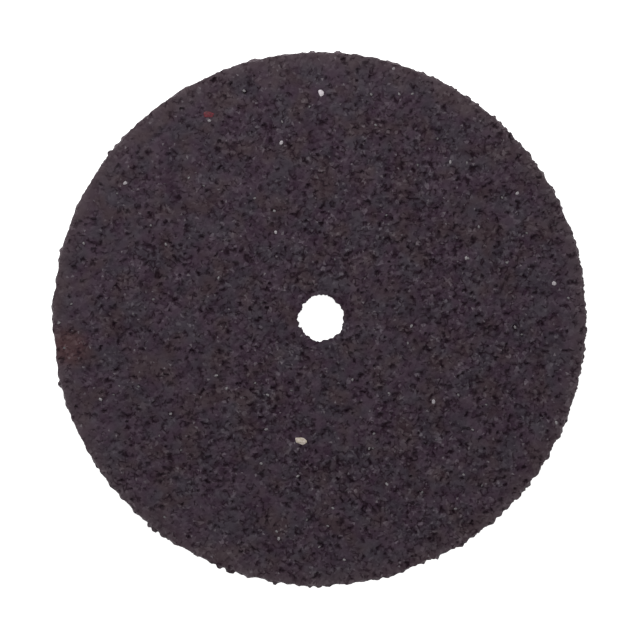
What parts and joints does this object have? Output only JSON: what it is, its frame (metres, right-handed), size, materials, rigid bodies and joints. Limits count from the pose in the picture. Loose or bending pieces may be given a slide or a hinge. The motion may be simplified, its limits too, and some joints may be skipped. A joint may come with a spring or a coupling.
{
  "type": "cut off wheel",
  "caption": "Thin round abrasive wheel of dark bonded grain with a plain central hole for a mandrel screw, used in a small rotary tool to cut metal.",
  "frame": {"origin": "centre of the bore in the plane of the lower face, which the wheel rests on", "axes": "+Z along the bore, the axis that the wheel turns about, up from the lower face to the upper one; +X and +Y in the plane of the wheel, +Y towards the top of the picture"},
  "size_m": [0.0242, 0.0241, 0.001],
  "materials": {
    "bonded_grain": "matte, rough grain with sparse glints"
  },
  "bodies": {
    "root": {"cutoff_wheel": "bonded_grain"}
  },
  "joints": []
}
